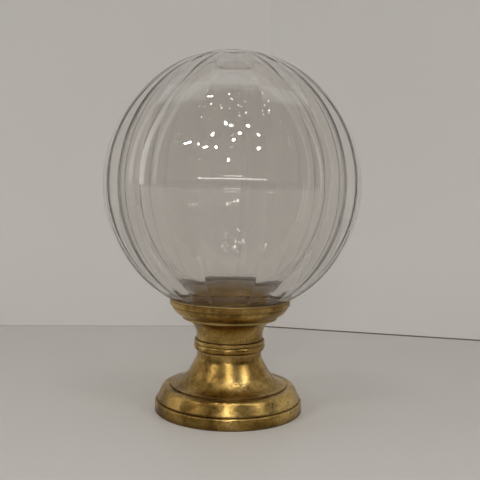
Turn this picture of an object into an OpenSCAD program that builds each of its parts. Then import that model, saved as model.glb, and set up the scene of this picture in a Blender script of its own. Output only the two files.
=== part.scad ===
// Panel-cut crystal ball on a turned brass pedestal, the finial of a stair newel post.
// Millimetres. Z is up, the origin is the centre of the foot's underside, and one panel faces -Y.

/* [Crystal ball] */
// Distance across two opposite panels at the widest height
ball_width = 120; // [90:1:160]
// Number of flat upright panels, an even number
panel_count = 14; // [8:2:20]
// How much flatter than a circle each panel's upper outline is
upper_stretch = 4; // [0:0.1:8]
// How much flatter than a circle each panel's lower outline is
lower_stretch = 0.5; // [0:0.1:4]
// Thickness of the glass at the widest height
glass_wall = 5; // [3:0.1:8]
// Thickness of the glass under the table
glass_top = 4.2; // [4:0.1:10]
// How much thicker the glass is below than at the sides
cavity_lift = 1; // [0:0.1:3]
// Half the width of the flat table on top
table_r = 12.5; // [6:0.1:20]
// Height from the ground base to the widest part of the ball
ball_drop = 52.6; // [35:0.1:75]
// Radius of the round hole through the ground base
neck_hole_r = 20; // [14:0.1:22]

/* [Turned brass] */
// Radius of the foot's rim
foot_r = 35.3; // [28:0.1:48]
// Height of the foot's upright rim
rim_h = 5.4; // [3:0.1:9]
// Height of the foot up to the joint under the bead
foot_h = 28.7; // [24:0.1:40]
// Radius where the bell runs up into the bead
waist_r = 15.5; // [13.5:0.1:20]
// Radius of the bead round the neck
bead_r = 17.1; // [16:0.1:24]
// Height of the baluster neck, from joint to joint
neck_h = 17; // [14:0.1:26]
// Radius of the fillet at the top of the neck
neck_top_r = 22.8; // [18:0.1:26]
// Radius of the cup's lip
lip_r = 28.75; // [26:0.1:34]
// Height of the cup from its underside to its lip
cup_h = 8.3; // [8:0.1:14]

/* [Threaded parts] */
// Radius of the tie rod's thread, M8
rod_thread_r = 4; // [3:0.5:5]
// Radius of the stair stud's thread, M10
stud_thread_r = 5; // [4:0.5:6]
// Length of thread for the stair stud
stud_depth = 10; // [8:0.5:14]
// Length of rod thread inside the coupling nut
rod_grip = 9; // [6:0.5:10]
// Width across the flats of the coupling nut
coupling_flats = 17; // [15:0.5:20]
// Width across the flats of the thin cup nut
cup_nut_flats = 13; // [12:0.5:17]
// Thickness of the thin cup nut
cup_nut_h = 3.4; // [2.5:0.1:4]
// Length of thread in the socket's hub
hub_thread = 5; // [3.75:1.25:7.5]

/* [Small parts] */
// Thickness of both steel washers
washer_t = 1.2; // [0.8:0.1:2]
// Thickness of the leather seat ring
seat_ring_t = 0.7; // [0.5:0.1:1.5]
// Thickness of the socket's flange
flange_t = 1.4; // [1:0.1:2]
// Width of the socket's flange outside the hole in the glass
flange_w = 4.5; // [3:0.1:5]

/* [Hidden] */
$fn = 96;

// How far a cut runs past the face it opens
cut = 1;
// Half the space that an outline may fill
reach = 200;

// Fits
thread_clearance = 0.05;
hole_clearance = 0.25;
spigot_clearance = 0.05;
rod_r = rod_thread_r - thread_clearance;
rod_hole_r = rod_thread_r + hole_clearance;

// Heights of the stack
cup_z = foot_h + neck_h;
cup_floor_t = 2.2;
cup_floor_z = cup_z + cup_floor_t;
lip_z = cup_z + cup_h;
ball_base_z = lip_z + seat_ring_t;
ball_z = ball_base_z + ball_drop;
socket_z = ball_base_z - flange_t;
hub_bore_top = socket_z + hub_thread;
hub_cap = 0.9;
flange_r = neck_hole_r + flange_w;
hub_top = hub_bore_top + hub_cap;
hub_wall = 3;
hub_r = rod_thread_r + hub_wall;
rod_end_gap = 0.2;

// Foot
web_t = 6.7;
web_z = foot_h - web_t;
foot_edge = 0.3;
washer_r = 10.5;
washer_room = 1.2;
mouth_wall = 4;
mouth_h = 7;
step_wall = 8;
step_h = 2.5;
well_flare = 7.5;
coupling_top = web_z - washer_t;
coupling_z = coupling_top - rod_grip - stud_depth;
rod_bottom = coupling_top - rod_grip + rod_end_gap;
rod_top = hub_bore_top - rod_end_gap;
spigot_r = 9;
spigot_h = 2;
spigot_end_gap = 0.2;
rod_tip = 0.8;
cup_washer_r = 8;
nut_corner_over = 0.2;
nut_corner_round = 0.9;
hub_round = 0.4;
cement_cover = 0.5;

// Ball
ball_r = ball_width / 2;
cavity_r = ball_r - glass_wall;
cavity_upper_stretch = upper_stretch - 1;
cavity_drop = ball_drop + cavity_lift;
table_z = sqrt(pow(ball_r + upper_stretch, 2) - pow(table_r + upper_stretch, 2));
ground_r = sqrt(pow(ball_r + lower_stretch, 2) - pow(ball_drop, 2)) - lower_stretch;
// A ball ground far in keeps a flat floor of glass. Otherwise the cavity runs out at the hole's edge
floor_share = 0.36;
floor_glass = floor_share * glass_wall;
hole_depth = sqrt(pow(cavity_r + lower_stretch, 2) - pow(neck_hole_r + lower_stretch, 2));
hole_edge_h = max(cavity_drop - hole_depth, floor_glass);
cavity_floor = cavity_drop - floor_glass;
cavity_top = table_z - glass_top - cavity_lift;

// Foot's outer side
rim_round = 0.9;
ledge_w = 1.1;
moulding_foot = 1.2;
moulding_lean = 2.9;
moulding_round = 2.2;
moulding_top = rim_h + 6.5;
bell_edge_r = foot_r - 7.5;
bell_step = 0.7;
flare_r = 11.4;
flare_over = 1.5;
bell_lean = 28;
waist_turn = 6;

// Neck's outer side
bead_gap = 0.4;
bead_h = 3.8;
bead_round = 1.8;
ring_h = 1.4;
ring_step = 0.2;
ring_round = 0.4;
cove_step = 0.35;
cove_rise = 1.6;
cove_r = 9.5;
cove_edge = 1.5;
fillet_h = 1.3;
fillet_round = 0.25;

// Cup
lip_h = 3;
lip_round = 0.35;
lip_step = 0.4;
swell_r = 7.5;
swell_drop = 1.1;
groove_r = 0.25;
lip_groove_drop = 0.75;
swell_groove_drop = 3.7;
swell_at = lip_r - lip_step - swell_r;
swell_groove_r = swell_at + sqrt(pow(swell_r, 2) - pow(swell_groove_drop - swell_drop, 2));
seat_w = 3.1;
seat_inner_r = min(lip_r - lip_round, ground_r) - seat_w;
dish_round = 3;

brass_colour = [0.71, 0.55, 0.27];
steel_colour = [0.55, 0.55, 0.56];
glass_colour = [0.85, 0.88, 0.88, 0.4];
cement_colour = [0.36, 0.26, 0.16];
leather_colour = [0.28, 0.17, 0.1];

// A bar from the axis out to x1 with rounded outer corners
module round_bar(x1, z0, z1, r) {
    translate([0, z0]) square([x1 - r, z1 - z0]);
    translate([0, z0 + r]) square([x1, z1 - z0 - 2 * r]);
    for (z = [z0 + r, z1 - r]) translate([x1 - r, z]) circle(r);
}

// A ring turned about Z, cut in section by the child
module turned() {
    rotate_extrude() intersection() {
        translate([0, -reach]) square([reach, 2 * reach]);
        children();
    }
}

// A nut with its corners rounded off at both ends
module hexagon_nut(flats, bore_r, height) {
    corner_r = flats / sqrt(3);
    difference() {
        intersection() {
            cylinder(h = height, r = corner_r, $fn = 6);
            turned() round_bar(corner_r + nut_corner_over, 0, height, nut_corner_round);
        }
        translate([0, 0, -cut]) cylinder(h = height + 2 * cut, r = bore_r);
    }
}

module washer(outer_r, inner_r, thickness) {
    difference() {
        cylinder(h = thickness, r = outer_r);
        translate([0, 0, -cut]) cylinder(h = thickness + 2 * cut, r = inner_r);
    }
}

// Half outline of one panel, above or below the widest height
module panel_half(stretch, half_r) {
    intersection() {
        translate([-stretch, 0]) circle(half_r + stretch, $fn = 100);
        translate([stretch, 0]) circle(half_r + stretch, $fn = 100);
        translate([-reach / 2, 0]) square(reach);
    }
}

module panel_outline() {
    intersection() {
        union() {
            panel_half(upper_stretch, ball_r);
            mirror([0, 1]) panel_half(lower_stretch, ball_r);
        }
        translate([-reach / 2, -ball_drop]) square([reach, ball_drop + table_z]);
    }
}

// The blown inside is round, whatever the cutting outside
module cavity_outline() {
    translate([0, cavity_lift]) intersection() {
        union() {
            panel_half(cavity_upper_stretch, cavity_r);
            mirror([0, 1]) panel_half(lower_stretch, cavity_r);
        }
        translate([-reach / 2, -cavity_floor]) square([reach, cavity_floor + cavity_top]);
    }
}

module crystal_ball() {
    pitch = 360 / panel_count;
    color(glass_colour) translate([0, 0, ball_z]) difference() {
        intersection_for (k = [0 : panel_count / 2 - 1])
            rotate([90, 0, 90 + k * pitch])
                linear_extrude(height = reach, center = true) panel_outline();
        turned() cavity_outline();
        translate([0, 0, -ball_drop - cut]) cylinder(h = ball_drop, r = neck_hole_r);
    }
}

// Brown cement fills the hole in the glass and is domed over the hub's end
module setting_cement() {
    dome_top = hub_top + cement_cover;
    dome_rise = dome_top - ball_base_z - hole_edge_h;
    dome_r = (pow(neck_hole_r, 2) + pow(dome_rise, 2)) / (2 * dome_rise);
    color(cement_colour) difference() {
        turned() intersection() {
            translate([0, ball_base_z]) square([neck_hole_r, dome_top - ball_base_z]);
            translate([0, dome_top - dome_r]) circle(dome_r);
        }
        turned() hub_outline();
    }
}

module hub_outline() {
    round_bar(hub_r, socket_z, hub_top, hub_round);
}

module neck_socket() {
    color(brass_colour) difference() {
        turned() {
            round_bar(flange_r, socket_z, ball_base_z, hub_round);
            hub_outline();
        }
        translate([0, 0, socket_z - cut]) cylinder(h = hub_thread + cut, r = rod_thread_r);
    }
}

module seat_ring() {
    color(leather_colour) translate([0, 0, lip_z])
        washer(lip_r - lip_round, seat_inner_r, seat_ring_t);
}

// The cup's outer side: a lip, two fine grooves and a swelling that draws in to the neck
module cup_outline() {
    difference() {
        union() {
            round_bar(lip_r, cup_h - lip_h, cup_h, lip_round);
            intersection() {
                translate([swell_at, cup_h - swell_drop]) circle(swell_r);
                square([lip_r, cup_h - lip_h + lip_round]);
            }
        }
        translate([lip_r, cup_h - lip_groove_drop]) circle(groove_r);
        translate([swell_groove_r, cup_h - swell_groove_drop]) circle(groove_r);
    }
    square([neck_top_r - fillet_round, cup_h - lip_h]);
}

// The hollow that the socket and the nut hang in, up to the ring the ball rests on
module dish_outline() {
    dish_h = cup_h - cup_floor_t;
    translate([0, cup_floor_t]) square([flange_r - dish_round, cup_h]);
    intersection() {
        translate([seat_inner_r - dish_h - dish_round, cup_h]) circle(dish_h + dish_round);
        translate([0, cup_floor_t]) square([seat_inner_r + 1, cup_h]);
    }
}

module cup_collar() {
    color(brass_colour) translate([0, 0, cup_z]) difference() {
        turned() {
            cup_outline();
            translate([0, -spigot_h]) square([spigot_r, spigot_h + cut]);
        }
        turned() dish_outline();
        translate([0, 0, -spigot_h - cut]) cylinder(h = cup_floor_t + spigot_h + 2 * cut, r = rod_hole_r);
    }
}

// Spigots below and a recess above centre the pieces on each other
module spigot_recess(z) {
    translate([0, 0, z - spigot_h - spigot_end_gap])
        cylinder(h = spigot_h + cut, r = spigot_r + spigot_clearance);
}

// From below: a bead, a narrow ring on it, a cove and the fillet under the cup
module neck_outline() {
    bead_top = bead_gap + bead_h;
    ring_top = bead_top + ring_h;
    cove_z = ring_top + cove_rise;
    round_bar(bead_r, bead_gap, bead_top, bead_round);
    round_bar(bead_r - ring_step, bead_top - bead_gap, ring_top, ring_round);
    round_bar(neck_top_r, neck_h - fillet_h, neck_h, fillet_round);
    difference() {
        square([neck_top_r - cove_edge, neck_h - fillet_round]);
        translate([waist_r + cove_step + cove_r, cove_z]) circle(cove_r);
        translate([waist_r + cove_step, 0]) square([neck_top_r, cove_z]);
        translate([waist_r, -cut]) square([neck_top_r, ring_top + cove_step + cut]);
    }
}

module baluster_neck() {
    color(brass_colour) translate([0, 0, foot_h]) difference() {
        turned() {
            neck_outline();
            translate([0, -spigot_h]) square([spigot_r, spigot_h + cut]);
        }
        spigot_recess(neck_h);
        translate([0, 0, -spigot_h - cut]) cylinder(h = neck_h + spigot_h + 2 * cut, r = rod_hole_r);
    }
}

// The moulding over the rim leans in and rounds over to a narrow flat
module moulding_outline() {
    foot_at = [foot_r - ledge_w - moulding_foot, rim_h + moulding_foot / 2];
    top_at = [foot_r - moulding_lean - moulding_round, moulding_top - moulding_round];
    run = top_at - foot_at;
    facing = atan2(run[1], run[0]) - acos((moulding_foot - moulding_round) / norm(run));
    outward = [cos(facing), sin(facing)];
    translate(foot_at) circle(moulding_foot);
    translate(top_at) circle(moulding_round);
    polygon([
        [0, rim_h - foot_edge],
        [foot_at[0], rim_h - foot_edge],
        foot_at + moulding_foot * outward,
        top_at + moulding_round * outward,
        [top_at[0], moulding_top],
        [0, moulding_top]
    ]);
}

// The bell sweeps in, leans as a cone and turns upright at the waist
module bell_outline() {
    flare_at = [bell_edge_r + flare_over, moulding_top + bell_step + flare_r];
    flare_top = flare_at - flare_r * [cos(bell_lean), sin(bell_lean)];
    turn_drop = waist_turn * sin(bell_lean);
    turn_in = waist_turn * (1 - cos(bell_lean));
    waist_z = flare_top[1] + (flare_top[0] - waist_r - turn_in) / tan(bell_lean) + turn_drop;
    difference() {
        polygon([
            [0, rim_h],
            [bell_edge_r, rim_h],
            [bell_edge_r, moulding_top + 2 * bell_step],
            flare_top,
            [waist_r + turn_in, waist_z - turn_drop],
            [waist_r, waist_z],
            [waist_r, foot_h],
            [0, foot_h]
        ]);
        translate(flare_at) circle(flare_r);
        translate([waist_r + waist_turn, waist_z]) circle(waist_turn);
    }
}

module foot_outline() {
    round_bar(foot_r, 0, rim_h, rim_round);
    round_bar(foot_r, 0, rim_h - rim_round, foot_edge);
    moulding_outline();
    bell_outline();
}

// Cast hollow below: a wide mouth, a step and a well for the nut and its washer
module foot_hollow() {
    well_r = washer_r + washer_room;
    translate([0, -cut]) square([foot_r - mouth_wall, mouth_h + cut]);
    translate([0, mouth_h - cut]) square([foot_r - step_wall, step_h + cut]);
    translate([0, mouth_h]) square([well_r, web_z - mouth_h]);
    intersection() {
        translate([well_r, mouth_h]) circle(well_flare);
        square([foot_r - step_wall, moulding_top]);
    }
}

module bell_foot() {
    color(brass_colour) difference() {
        turned() foot_outline();
        turned() foot_hollow();
        spigot_recess(foot_h);
        translate([0, 0, web_z - cut]) cylinder(h = web_t + 2 * cut, r = rod_hole_r);
    }
}

module tie_rod() {
    color(steel_colour) {
        translate([0, 0, rod_bottom + rod_tip])
            cylinder(h = rod_top - rod_bottom - 2 * rod_tip, r = rod_r);
        translate([0, 0, rod_bottom]) cylinder(h = rod_tip, r1 = rod_r - rod_tip, r2 = rod_r);
        translate([0, 0, rod_top - rod_tip]) cylinder(h = rod_tip, r1 = rod_r, r2 = rod_r - rod_tip);
    }
}

module cup_washer() {
    color(steel_colour) translate([0, 0, cup_floor_z]) washer(cup_washer_r, rod_hole_r, washer_t);
}

module cup_nut() {
    color(steel_colour) translate([0, 0, cup_floor_z + washer_t])
        hexagon_nut(cup_nut_flats, rod_thread_r, cup_nut_h);
}

module foot_washer() {
    color(steel_colour) translate([0, 0, coupling_top]) washer(washer_r, rod_hole_r, washer_t);
}

// The long nut pulls the stack together and takes the stair's stud from below
module coupling_nut() {
    color(steel_colour) translate([0, 0, coupling_z]) difference() {
        hexagon_nut(coupling_flats, rod_thread_r, rod_grip + stud_depth);
        translate([0, 0, -cut]) cylinder(h = stud_depth + cut, r = stud_thread_r);
    }
}

crystal_ball();
setting_cement();
neck_socket();
seat_ring();
cup_collar();
baluster_neck();
bell_foot();
tie_rod();
cup_nut();
cup_washer();
foot_washer();
coupling_nut();
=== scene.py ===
"""Panel-cut crystal ball on a turned brass pedestal, a stair newel finial: its looks on the CAD frame."""

import math
import random

import bmesh
import bpy
from mathutils import Matrix, Vector, noise


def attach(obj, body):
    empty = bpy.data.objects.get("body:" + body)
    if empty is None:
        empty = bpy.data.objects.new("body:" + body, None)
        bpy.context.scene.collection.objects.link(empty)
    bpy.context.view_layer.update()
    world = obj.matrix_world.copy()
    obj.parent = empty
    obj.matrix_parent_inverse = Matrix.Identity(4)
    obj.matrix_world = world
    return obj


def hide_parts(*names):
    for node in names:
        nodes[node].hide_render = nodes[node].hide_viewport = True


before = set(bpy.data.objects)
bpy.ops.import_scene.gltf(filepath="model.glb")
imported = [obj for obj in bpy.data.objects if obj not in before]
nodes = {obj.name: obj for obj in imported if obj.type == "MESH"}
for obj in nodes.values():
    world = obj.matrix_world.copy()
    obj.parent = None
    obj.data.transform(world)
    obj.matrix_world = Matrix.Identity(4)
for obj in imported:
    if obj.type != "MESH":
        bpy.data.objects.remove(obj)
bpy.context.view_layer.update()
scene = bpy.context.scene

MM = 0.001

# ---------------------------------------------------------------- sizes of the glass, in millimetres

PANELS = 14
BALL_R = 60
UPPER_STRETCH, LOWER_STRETCH = 4, 0.5
CAVITY_R = 55
CAVITY_UPPER_STRETCH = 3
CAVITY_LIFT = 1
TABLE_R = 12.5
BALL_DROP = 52.6
BASE_Z = 54.7
BALL_Z = BASE_Z + BALL_DROP
HOLE_R = 20
GLASS_TOP = 4.2
TABLE_Z = math.sqrt((BALL_R + UPPER_STRETCH) ** 2 - (TABLE_R + UPPER_STRETCH) ** 2)
ARRIS_R = 1.6
CHAMFER = 0.8
CONTACT = 0.03  # how far the ground base reaches into its seat, so that cement and glass touch optically
WAVE = 0.12  # how uneven the blown cavity is
OUTER_SPAN, INNER_SPAN = 61.5, 58  # half heights that the levels of each surface are spread over
OUTER_LEVELS, INNER_LEVELS = 121, 101

# ---------------------------------------------------------------- camera

CAMERA_DISTANCE = 352.2 * MM
CAMERA_HEIGHT = 109 * MM
FOCAL_SHARE = 740 / 480  # focal length as a share of the picture's width
PITCH_DOWN, YAW_RIGHT, ROLL_LEFT = (math.radians(a) for a in (4.42, 0.675, 1.18))


def make_camera():
    forward = Vector((
        math.cos(PITCH_DOWN) * math.sin(YAW_RIGHT),
        math.cos(PITCH_DOWN) * math.cos(YAW_RIGHT),
        -math.sin(PITCH_DOWN),
    ))
    level_right = Vector((math.cos(YAW_RIGHT), -math.sin(YAW_RIGHT), 0))
    level_up = level_right.cross(forward)
    right = math.cos(ROLL_LEFT) * level_right + math.sin(ROLL_LEFT) * level_up
    up = -math.sin(ROLL_LEFT) * level_right + math.cos(ROLL_LEFT) * level_up
    data = bpy.data.cameras.new("camera")
    data.sensor_width = 36
    data.lens = data.sensor_width * FOCAL_SHARE
    data.clip_start = 0.01
    camera = bpy.data.objects.new("camera", data)
    turn = Matrix((right, up, -forward)).transposed().to_4x4()
    camera.matrix_world = Matrix.Translation((0, -CAMERA_DISTANCE, CAMERA_HEIGHT)) @ turn
    scene.collection.objects.link(camera)
    scene.camera = camera


# ---------------------------------------------------------------- node helpers


class Tree:
    """A material under construction, with short ways to add and join its nodes."""

    def __init__(self, name):
        self.material = bpy.data.materials.new(name)
        self.material.use_nodes = True
        self.tree = self.material.node_tree
        self.tree.nodes.clear()
        self.output = self.tree.nodes.new("ShaderNodeOutputMaterial")

    def add(self, kind, inputs=None, **settings):
        node = self.tree.nodes.new("ShaderNode" + kind)
        for key, value in settings.items():
            setattr(node, key, value)
        for key, value in (inputs or {}).items():
            self.put(value, node.inputs[key])
        return node

    def put(self, value, socket):
        if isinstance(value, bpy.types.NodeSocket):
            self.tree.links.new(value, socket)
        else:
            socket.default_value = value

    def maths(self, operation, a, b=0.0):
        node = self.add("Math", operation=operation)
        self.put(a, node.inputs[0])
        self.put(b, node.inputs[1])
        return node.outputs[0]

    def ramp(self, value, *stops):
        node = self.add("ValToRGB", {"Fac": value})
        ramp = node.color_ramp
        while len(ramp.elements) < len(stops):
            ramp.elements.new(0.5)
        for element, (place, colour) in zip(ramp.elements, stops):
            element.position = place
            element.color = colour if len(colour) == 4 else (*colour, 1)
        return node.outputs["Color"]

    def noise(self, vector, scale, detail=3.0, roughness=0.55, distortion=0.0):
        node = self.add("TexNoise", {
            "Vector": vector, "Scale": scale, "Detail": detail,
            "Roughness": roughness, "Distortion": distortion,
        })
        return node.outputs["Fac"]

    def mix(self, factor, a, b):
        node = self.add("Mix", data_type="RGBA")
        self.put(factor, node.inputs["Factor"])
        self.put(a if isinstance(a, bpy.types.NodeSocket) else (*a, 1), node.inputs[6])
        self.put(b if isinstance(b, bpy.types.NodeSocket) else (*b, 1), node.inputs[7])
        return node.outputs[2]

    def place(self):
        return self.add("TexCoord").outputs["Object"]

    def turned_place(self, vector):
        """Radius and height only, so that a pattern runs in rings round the axis."""
        split = self.add("SeparateXYZ", {"Vector": vector})
        x, y, z = split.outputs
        squares = self.maths("ADD", self.maths("MULTIPLY", x, x), self.maths("MULTIPLY", y, y))
        radius = self.maths("SQRT", squares)
        return self.add("CombineXYZ", {"X": radius, "Z": z}).outputs[0]

    def bump(self, height, strength, distance, normal=None):
        inputs = {"Height": height, "Strength": strength, "Distance": distance}
        if normal is not None:
            inputs["Normal"] = normal
        return self.add("Bump", inputs).outputs["Normal"]

    def surface(self, shader):
        self.tree.links.new(shader, self.output.inputs["Surface"])
        return self.material


def grey(value):
    return (value, value, value)


# ---------------------------------------------------------------- materials


def aged_brass(name="aged_brass", tarnish=0.5, rubbed=0.55, stain_and_shade=0.0):
    """Turned brass: mottled tarnish, dark in the grooves, rubbed bright on the edges, and where asked
    darkened to a dark brown that is part cement stain, part painted shade.
    """
    t = Tree(name)
    place = t.place()
    cloud = t.noise(place, 55, 6, 0.62, 0.6)
    fleck = t.noise(place, 420, 5, 0.7)
    grain = t.noise(place, 1500, 3, 0.6)
    rings = t.noise(t.turned_place(place), 2600, 2, 0.5)

    closed = t.add("AmbientOcclusion", {"Distance": 3.5 * MM}, samples=6).outputs["AO"]
    creviced = t.ramp(closed, (0.45, grey(1)), (0.92, grey(0)))
    open_edge = t.add("AmbientOcclusion", {"Distance": 1.2 * MM}, samples=6, inside=True).outputs["AO"]
    edge = t.ramp(open_edge, (0.35, grey(1)), (0.75, grey(0)))

    worn = t.maths("ADD", t.maths("MULTIPLY", cloud, 0.65), t.maths("MULTIPLY", fleck, 0.35))
    worn = t.maths("ADD", worn, 0.5 - tarnish)
    bright = t.ramp(
        worn, (0.38, (0.13, 0.070, 0.018)), (0.50, (0.36, 0.23, 0.062)), (0.62, (0.72, 0.51, 0.19)),
    )
    spotted = t.mix(t.ramp(fleck, (0.54, grey(0)), (0.66, grey(0.75))), bright, (0.10, 0.054, 0.016))
    grimy = t.mix(t.maths("MULTIPLY", creviced, 0.85), spotted, (0.055, 0.030, 0.010))
    colour = t.mix(t.maths("MULTIPLY", edge, rubbed), grimy, (0.80, 0.60, 0.27))
    # part cement stain, part painted shade: a mix toward dark brown for a part that lies in shade
    colour = t.mix(stain_and_shade, colour, (0.060, 0.034, 0.012))

    rough = t.maths("ADD", t.maths("MULTIPLY", cloud, -0.26), 0.36)
    rough = t.maths("ADD", rough, t.maths("MULTIPLY", fleck, 0.18))
    rough = t.maths("ADD", rough, t.maths("MULTIPLY", creviced, 0.25))
    height = t.maths("ADD", t.maths("MULTIPLY", fleck, 0.7), t.maths("MULTIPLY", grain, 0.3))
    normal = t.bump(height, 0.35, 0.10 * MM)
    normal = t.bump(rings, 0.16, 0.05 * MM, normal)
    normal = t.bump(cloud, 0.30, 0.7 * MM, normal)
    shader = t.add("BsdfPrincipled", {
        "Base Color": colour, "Metallic": 1.0, "Roughness": rough, "Normal": normal,
    })
    return t.surface(shader.outputs["BSDF"])


def dull_steel():
    """Zinc-grey steel with turning marks, brown in places."""
    t = Tree("dull_steel")
    place = t.place()
    cloud = t.noise(place, 160, 5, 0.6)
    rings = t.noise(t.turned_place(place), 3800, 2, 0.5)
    rust = t.ramp(cloud, (0.50, grey(0)), (0.68, grey(0.8)))
    colour = t.mix(rust, (0.34, 0.33, 0.31), (0.16, 0.085, 0.045))
    rough = t.maths("ADD", t.maths("MULTIPLY", cloud, 0.35), 0.22)
    shader = t.add("BsdfPrincipled", {
        "Base Color": colour, "Metallic": 0.95, "Roughness": rough,
        "Normal": t.bump(rings, 0.25, 0.06 * MM),
    })
    return t.surface(shader.outputs["BSDF"])


def brown_cement():
    """Old setting cement: brown, granular, a little glossy where it was smoothed. Its browns are also kept
    darker as painted shade, for the shade it lies in under the glass.
    """
    t = Tree("brown_cement")
    place = t.place()
    cloud = t.noise(place, 140, 6, 0.65)
    grit = t.noise(place, 1100, 4, 0.7)
    # partly the cement's own brown, partly painted shade: these browns are darkened further for the shade
    # under the glass base
    colour = t.ramp(
        cloud, (0.34, (0.030, 0.016, 0.005)), (0.55, (0.075, 0.043, 0.014)), (0.75, (0.140, 0.085, 0.030)),
    )
    rough = t.maths("ADD", t.maths("MULTIPLY", cloud, 0.4), 0.38)
    shader = t.add("BsdfPrincipled", {
        "Base Color": colour, "Roughness": rough,
        "Normal": t.bump(t.maths("ADD", cloud, t.maths("MULTIPLY", grit, 0.4)), 0.5, 0.4 * MM),
    })
    return t.surface(shader.outputs["BSDF"])


def dark_leather():
    t = Tree("dark_leather")
    place = t.place()
    grain = t.add("TexVoronoi", {"Vector": place, "Scale": 1500.0}, feature="DISTANCE_TO_EDGE")
    cloud = t.noise(place, 180, 5, 0.6)
    colour = t.ramp(cloud, (0.35, (0.035, 0.018, 0.008)), (0.7, (0.10, 0.055, 0.024)))
    rough = t.maths("ADD", t.maths("MULTIPLY", cloud, 0.3), 0.45)
    shader = t.add("BsdfPrincipled", {
        "Base Color": colour, "Roughness": rough, "Normal": t.bump(grain.outputs["Distance"], 0.4, 0.12 * MM),
    })
    return t.surface(shader.outputs["BSDF"])


def lead_crystal():
    """Clear lead glass with hair scratches. Lamps shine through it and cast no solid shadow."""
    t = Tree("lead_crystal")
    place = t.place()
    ripple = t.noise(place, 38, 2, 0.5)
    drawn = t.add("Mapping", {"Vector": place, "Scale": (900.0, 900.0, 60.0)}).outputs[0]
    scratch = t.noise(drawn, 1.0, 4, 0.6)
    normal = t.bump(ripple, 0.5, 0.12 * MM)
    normal = t.bump(scratch, 0.05, 0.01 * MM, normal)
    dusty = t.noise(place, 300, 4, 0.7)
    glass = t.add("BsdfPrincipled", {
        "Base Color": t.mix(dusty, (0.865, 0.85, 0.83), (0.895, 0.88, 0.86)),
        "Transmission Weight": 1.0, "IOR": 1.545,
        "Roughness": t.ramp(dusty, (0.62, grey(0.0)), (0.95, grey(0.02))),
        "Normal": normal,
    })
    clear = t.add("BsdfTransparent", {"Color": (0.93, 0.925, 0.91, 1)})
    ray = t.add("LightPath")
    lamp_ray = t.maths("MAXIMUM", ray.outputs["Is Shadow Ray"], ray.outputs["Is Diffuse Ray"])
    both = t.add("MixShader", {0: lamp_ray, 1: glass.outputs[0], 2: clear.outputs[0]})
    return t.surface(both.outputs[0])


def matt_paint(name, low, high, rough):
    """A paint and its shader, which is left open for more to be mixed in."""
    t = Tree(name)
    place = t.place()
    cloud = t.noise(place, 2.5, 5, 0.6)
    grain = t.noise(place, 900, 3, 0.6)
    colour = t.mix(cloud, low, high)
    shader = t.add("BsdfPrincipled", {
        "Base Color": colour, "Roughness": rough, "Normal": t.bump(grain, 0.15, 0.2 * MM),
    })
    return t, shader


def dress(name, material):
    """Gives a CAD node its material."""
    mesh = nodes[name].data
    mesh.materials.clear()
    mesh.materials.append(material)


# ---------------------------------------------------------------- backdrop and light

# All in metres. The wall turns a corner behind the ball. Along its foot a thin dark strip is painted shade,
# for the shade in a gap between wall and floor.
WALL_LINE = ((-0.9, 0.132), (0.026, 0.204), (0.9, -0.009))
WALL_H = 0.9
# height of the painted shade strip along the wall's foot
GAP_SHADE_HEIGHT = 0.9 * MM
FLOOR_HALF = 3


def backdrop():
    mesh = bpy.data.meshes.new("floor")
    shape = bmesh.new()
    bmesh.ops.create_grid(shape, x_segments=1, y_segments=1, size=FLOOR_HALF)
    shape.to_mesh(mesh)
    floor = bpy.data.objects.new("floor", mesh)
    t, shader = matt_paint("floor_paint", (0.475, 0.46, 0.435), (0.54, 0.523, 0.497), 0.55)
    mesh.materials.append(t.surface(shader.outputs[0]))
    scene.collection.objects.link(floor)

    mesh = bpy.data.meshes.new("wall")
    shape = bmesh.new()
    for (x0, y0), (x1, y1) in zip(WALL_LINE, WALL_LINE[1:]):
        corners = [(x0, y0, 0), (x1, y1, 0), (x1, y1, WALL_H), (x0, y0, WALL_H)]
        shape.faces.new([shape.verts.new(c) for c in corners])
    shape.to_mesh(mesh)
    wall = bpy.data.objects.new("wall", mesh)
    t, shader = matt_paint("wall_paint", (0.69, 0.675, 0.65), (0.73, 0.715, 0.69), 0.85)
    across, _, height = t.add("SeparateXYZ", {"Vector": t.place()}).outputs
    # painted shade: the wall's paint turns greyer toward the top, standing in for the lamps' light falling
    # off up the wall
    shade = t.ramp(t.maths("MULTIPLY", height, 2.5), (0.15, grey(0)), (0.9, grey(0.6)))
    paint = t.mix(shade, shader.inputs["Base Color"].links[0].from_socket, (0.40, 0.39, 0.375))
    # painted shade: a thin dark strip at the wall's foot, stronger to the right, standing in for the shade in
    # the gap between wall and floor
    darker_right = t.ramp(across, (0.0, grey(0.25)), (0.03, grey(0.9)))
    painted_gap_shade = t.maths("MULTIPLY", t.maths("LESS_THAN", height, GAP_SHADE_HEIGHT), darker_right)
    t.put(t.mix(painted_gap_shade, paint, (0.085, 0.055, 0.030)), shader.inputs["Base Color"])
    back = t.add("NewGeometry").outputs["Backfacing"]
    one_sided = t.add("MixShader", {0: back, 1: shader.outputs[0], 2: t.add("BsdfTransparent").outputs[0]})
    mesh.materials.append(t.surface(one_sided.outputs[0]))
    scene.collection.objects.link(wall)


LIGHT_TARGET = (0, 0, 0.1)
LIGHT_COLOUR = (1, 0.975, 0.95)


def area_light(name, place, size, power, height=None):
    """A disk, or with a height a rectangle, that faces the ball."""
    data = bpy.data.lights.new(name, "AREA")
    data.shape = "DISK" if height is None else "RECTANGLE"
    data.size = size
    if height is not None:
        data.size_y = height
    data.energy = power
    data.color = LIGHT_COLOUR
    light = bpy.data.objects.new(name, data)
    light.location = place
    aim = Vector(LIGHT_TARGET) - Vector(place)
    light.rotation_euler = aim.to_track_quat("-Z", "Y").to_euler()
    scene.collection.objects.link(light)


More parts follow.
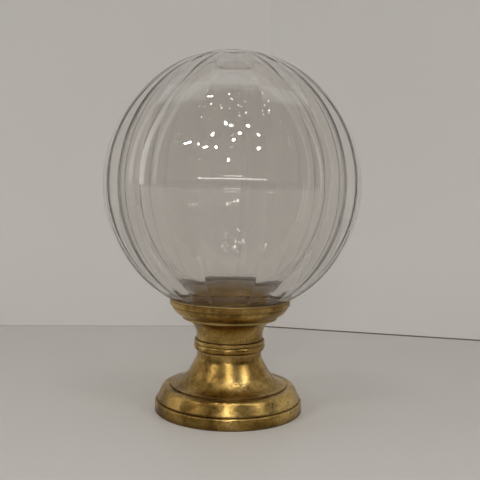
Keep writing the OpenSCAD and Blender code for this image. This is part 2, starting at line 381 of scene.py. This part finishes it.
LAMP_POWER = 0.9
LAMP_W, LAMP_H = 0.008, 0.06
LAMP_AWAY = 2.4
LAMP_GROUPS = (-56.4, 0.0, 56.4)  # directions that the front panel and its two neighbours reflect
LAMPS_A_GROUP = 10
CEILING_POWER = 0.75
CEILING_SIZE = 0.05
CEILING_AWAY = 2.2
CEILING_LAMPS = 16
LAMP_CENTRE_Z = 0.107


def room():
    """What the glass and brass reflect: a dim room in front, bright sides. The camera sees a plain room."""
    world = bpy.data.worlds.new("room")
    scene.world = world
    world.use_nodes = True
    tree = world.node_tree
    place = tree.nodes.new("ShaderNodeTexCoord").outputs["Generated"]
    split = tree.nodes.new("ShaderNodeSeparateXYZ")
    tree.links.new(place, split.inputs[0])
    backward = tree.nodes.new("ShaderNodeMapRange")
    backward.inputs["From Min"].default_value = -1
    tree.links.new(split.outputs["Y"], backward.inputs["Value"])
    ramp = tree.nodes.new("ShaderNodeValToRGB")
    stops = ((0.0, 0.015), (0.475, 0.02), (0.505, 2.1), (1.0, 2.1))
    while len(ramp.color_ramp.elements) < len(stops):
        ramp.color_ramp.elements.new(0.5)
    for element, (at, value) in zip(ramp.color_ramp.elements, stops):
        element.position = at
        element.color = (value, 0.985 * value, 0.965 * value, 1)
    tree.links.new(backward.outputs[0], ramp.inputs["Fac"])
    tree.links.new(ramp.outputs["Color"], tree.nodes["Background"].inputs["Color"])
    overhead = tree.nodes.new("ShaderNodeMapRange")
    for key, value in {"From Min": 0.35, "From Max": 0.85, "To Min": 1.0, "To Max": 0.5}.items():
        overhead.inputs[key].default_value = value
    tree.links.new(split.outputs["Z"], overhead.inputs["Value"])
    tree.links.new(overhead.outputs[0], tree.nodes["Background"].inputs["Strength"])
    ray = tree.nodes.new("ShaderNodeLightPath")
    plain = tree.nodes.new("ShaderNodeBackground")
    plain.inputs["Color"].default_value = (0.40, 0.39, 0.37, 1)
    both = tree.nodes.new("ShaderNodeMixShader")
    tree.links.new(ray.outputs["Is Camera Ray"], both.inputs[0])
    tree.links.new(tree.nodes["Background"].outputs[0], both.inputs[1])
    tree.links.new(plain.outputs[0], both.inputs[2])
    tree.links.new(both.outputs[0], tree.nodes["World Output"].inputs["Surface"])


def toward(turn, rise, away):
    """A place at a distance from the ball's middle, turned from -Y and raised, both in degrees."""
    turn, rise = math.radians(turn), math.radians(rise)
    flat = away * math.cos(rise)
    return flat * math.sin(turn), -flat * math.cos(turn), LAMP_CENTRE_Z + away * math.sin(rise)


def lights():
    """Small lamps that sparkle in the panels, a lamp above the camera and a strip across the front."""
    room()
    scatter = random.Random(7)
    for group, azimuth in enumerate(LAMP_GROUPS):
        for k in range(LAMPS_A_GROUP):
            turn = azimuth + (k - (LAMPS_A_GROUP - 1) / 2) * 0.64 + scatter.uniform(-0.2, 0.2)
            rise = scatter.choice((30, 36, 42, 49)) + scatter.uniform(-1.5, 1.5)
            place = toward(turn, rise, LAMP_AWAY)
            area_light(f"lamp_{group}_{k}", place, LAMP_W, LAMP_POWER, height=LAMP_H)
    for k in range(CEILING_LAMPS):
        turn = scatter.uniform(9, 47) * (1 if k % 2 else -1)
        place = toward(turn, scatter.uniform(50, 80), CEILING_AWAY)
        area_light(f"ceiling_{k}", place, CEILING_SIZE, CEILING_POWER)
    area_light("front_lamp", (-0.19, -1.75, 0.72), 0.12, 2.4)
    area_light("strip", (0.0, -2.2, 0.34), 0.9, 1.0, height=0.03)


# ---------------------------------------------------------------- ball


def outer_level(z):
    """A panel middle's distance from the axis, and its lean, at a height above the widest level."""
    stretch = UPPER_STRETCH if z >= 0 else LOWER_STRETCH
    return math.sqrt((BALL_R + stretch) ** 2 - z * z) - stretch, math.asin(z / (BALL_R + stretch))


def cavity_level(z):
    """The same for the cavity's wall."""
    rise = z - CAVITY_LIFT
    stretch = CAVITY_UPPER_STRETCH if rise >= 0 else LOWER_STRETCH
    across = math.sqrt(max((CAVITY_R + stretch) ** 2 - rise * rise, 0)) - stretch
    return across, math.asin(rise / (CAVITY_R + stretch))


def levels(count, span, low, high):
    """Heights closer together where the surface lies flatter, between two limits."""
    heights = [1 - span * math.cos(math.pi * k / (count - 1)) for k in range(count)]
    return sorted({max(low, min(high, z)) for z in heights})


def ball():
    """Fourteen flat panels with softly polished arrises outside, a blown round cavity inside."""
    half = math.pi / PANELS
    shape = bmesh.new()
    normals = {}

    def ring(points):
        made = []
        for place, normal in points:
            vert = shape.verts.new([c * MM for c in place])
            normals[vert] = normal
            made.append(vert)
        return made

    def bridge(a, b, flip=False):
        count = len(a)
        for k in range(count):
            quad = [a[k], a[(k + 1) % count], b[(k + 1) % count], b[k]]
            shape.faces.new(quad[::-1] if flip else quad)

    def cut_ring(inradius, z, lean, flat_normal=None):
        """One level of the panels. Each arris is a small arc, and each panel is flat between its arcs."""
        arc = min(ARRIS_R, 0.3 * inradius)
        centre = (inradius - arc) / math.cos(half)
        points = []
        for k in range(PANELS):
            facing = -math.pi / 2 + 2 * half * k
            corner = facing + half
            side = math.tan(half) * (inradius - arc)
            for share in (-0.5, 0, 0.5):
                across = side * share
                x = inradius * math.cos(facing) - across * math.sin(facing)
                y = inradius * math.sin(facing) + across * math.cos(facing)
                points.append(((x, y), facing))
            for step in range(5):
                turn = facing + 2 * half * step / 4
                x = centre * math.cos(corner) + arc * math.cos(turn)
                y = centre * math.sin(corner) + arc * math.sin(turn)
                points.append(((x, y), turn))
        out = []
        for (x, y), turn in points:
            normal = flat_normal or Vector((
                math.cos(turn) * math.cos(lean), math.sin(turn) * math.cos(lean), math.sin(lean),
            ))
            out.append(((x, y, BALL_Z + z), normal))
        return ring(out)

    base = -BALL_DROP - CONTACT
    edge = base + CHAMFER
    rings = []
    for z in levels(OUTER_LEVELS, OUTER_SPAN, edge, TABLE_Z):
        inradius, lean = outer_level(z)
        rings.append(cut_ring(inradius, z, lean))
    for a, b in zip(rings, rings[1:]):
        bridge(a, b)
    ground_r = outer_level(base)[0] - CHAMFER
    bridge(cut_ring(ground_r, base, -math.pi / 4), cut_ring(outer_level(edge)[0], edge, -math.pi / 4))
    up, down = Vector((0, 0, 1)), Vector((0, 0, -1))
    shape.faces.new(cut_ring(outer_level(TABLE_Z)[0], TABLE_Z, 0, up))
    ground = cut_ring(ground_r, base, 0, down)

    count = len(ground)
    spin = [-math.pi / 2 - half + 2 * math.pi * (k + 0.5) / count for k in range(count)]

    def round_ring(radius, z, lean=0.0, flat_normal=None, wave=0.0):
        """One level of the cavity or the hole, which face the axis."""
        points = []
        for a in spin:
            x, y = math.cos(a), math.sin(a)
            r = radius
            if wave:
                r += wave * noise.noise(Vector((x * 1.6, y * 1.6, z * 0.035 + 7)))
            facing = Vector((-x * math.cos(lean), -y * math.cos(lean), -math.sin(lean)))
            points.append(((x * r, y * r, BALL_Z + z), flat_normal or facing))
        return ring(points)

    hole_top = CAVITY_LIFT - math.sqrt((CAVITY_R + LOWER_STRETCH) ** 2 - (HOLE_R + LOWER_STRETCH) ** 2)
    bridge(ground, round_ring(HOLE_R, base, flat_normal=down), flip=True)
    bridge(round_ring(HOLE_R, base), round_ring(HOLE_R, hole_top), flip=True)

    ceiling = TABLE_Z - GLASS_TOP
    inner = []
    for z in levels(INNER_LEVELS, INNER_SPAN, hole_top, ceiling):
        radius, lean = cavity_level(z)
        inner.append(round_ring(radius, z, lean, wave=0.0 if z <= hole_top else WAVE))
    for a, b in zip(inner, inner[1:]):
        bridge(a, b, flip=True)
    shape.faces.new(round_ring(cavity_level(ceiling)[0], ceiling, flat_normal=down)[::-1])

    mesh = bpy.data.meshes.new("ball_glass")
    shape.verts.index_update()
    ordered = [normals[v] for v in shape.verts]
    shape.to_mesh(mesh)
    shape.free()
    for polygon in mesh.polygons:
        polygon.use_smooth = True
    mesh.normals_split_custom_set_from_vertices([n.normalized() for n in ordered])
    piece = bpy.data.objects.new("ball_glass", mesh)
    scene.collection.objects.link(piece)
    mesh.materials.append(lead_crystal())
    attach(piece, "ball")
    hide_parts("crystal_ball")


make_camera()
backdrop()
lights()
ball()

brass = aged_brass()
for name in ("cup_collar", "baluster_neck", "bell_foot"):
    dress(name, brass)
# the socket under the glass is darkened by tarnish and cement stain, and also as painted shade for the shade
# it lies in
dress("neck_socket", aged_brass("socket_brass", tarnish=0.8, rubbed=0.1, stain_and_shade=0.7))
steel = dull_steel()
for name in ("tie_rod", "cup_nut", "cup_washer", "foot_washer", "coupling_nut"):
    dress(name, steel)
dress("setting_cement", brown_cement())
dress("seat_ring", dark_leather())

scene.view_settings.view_transform = "Standard"
scene.cycles.max_bounces = 32
scene.cycles.transmission_bounces = 24
scene.cycles.glossy_bounces = 12
scene.cycles.diffuse_bounces = 4
scene.cycles.transparent_max_bounces = 24
scene.cycles.sample_clamp_indirect = 30
